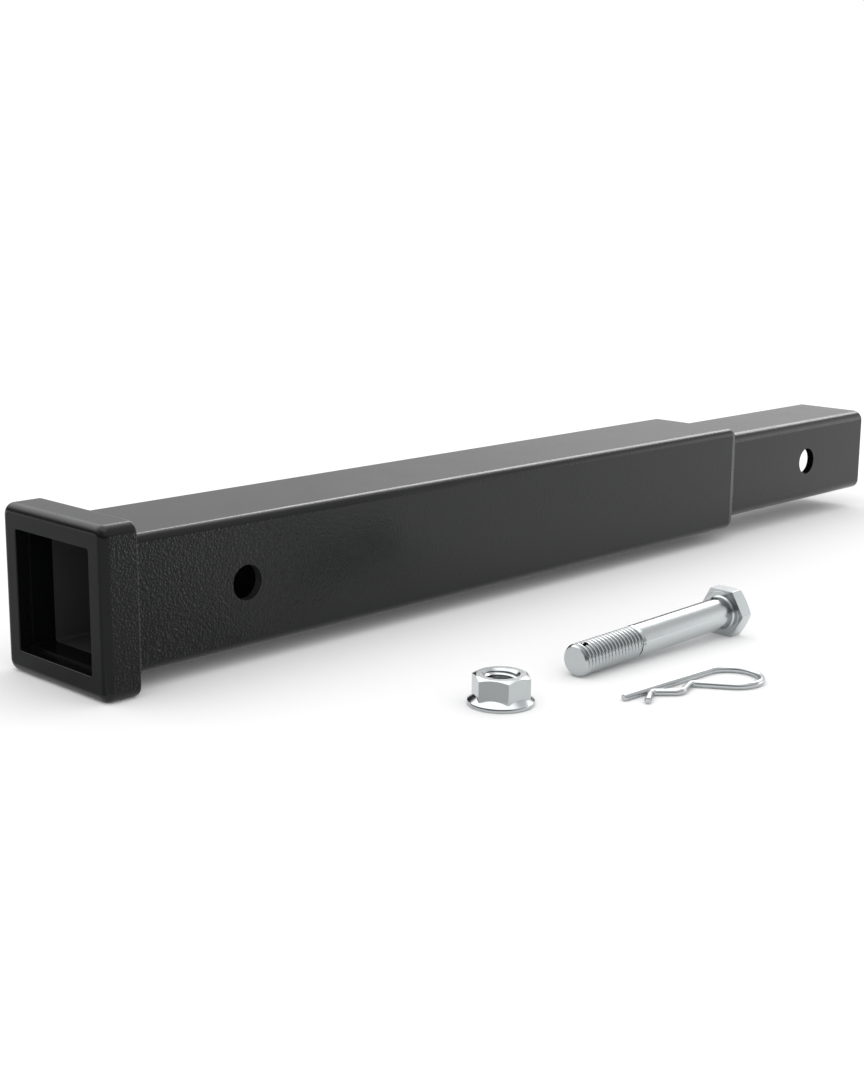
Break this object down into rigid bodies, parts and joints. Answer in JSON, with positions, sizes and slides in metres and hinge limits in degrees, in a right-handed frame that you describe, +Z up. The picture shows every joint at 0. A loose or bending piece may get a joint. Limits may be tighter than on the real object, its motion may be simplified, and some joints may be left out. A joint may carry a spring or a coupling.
{
  "type": "hitch receiver extender",
  "caption": "Square steel receiver tube with a reinforcing collar round its mouth and a smaller welded square shank; its cross bolt, flange nut and spring clip lie beside it.",
  "frame": {"origin": "centre of the shank's pin hole, on the common axis of both square tubes", "axes": "+X along the shank towards its free end, +Y along the pin hole, +Z up; the collar stands on Z = -37.5 mm"},
  "size_m": [0.6, 0.2459, 0.075],
  "materials": {
    "powder_coat": "black powder coat with a fine wrinkle, over steel",
    "zinc_plate": "bright clear zinc plating over steel"
  },
  "bodies": {
    "root": {"receiver_tube": "powder_coat", "mouth_collar": "powder_coat", "shank_tube": "powder_coat", "collar_weld": "powder_coat", "shank_weld": "powder_coat", "hitch_bolt": "zinc_plate", "flange_nut": "zinc_plate", "spring_clip": "zinc_plate"}
  },
  "joints": []
}
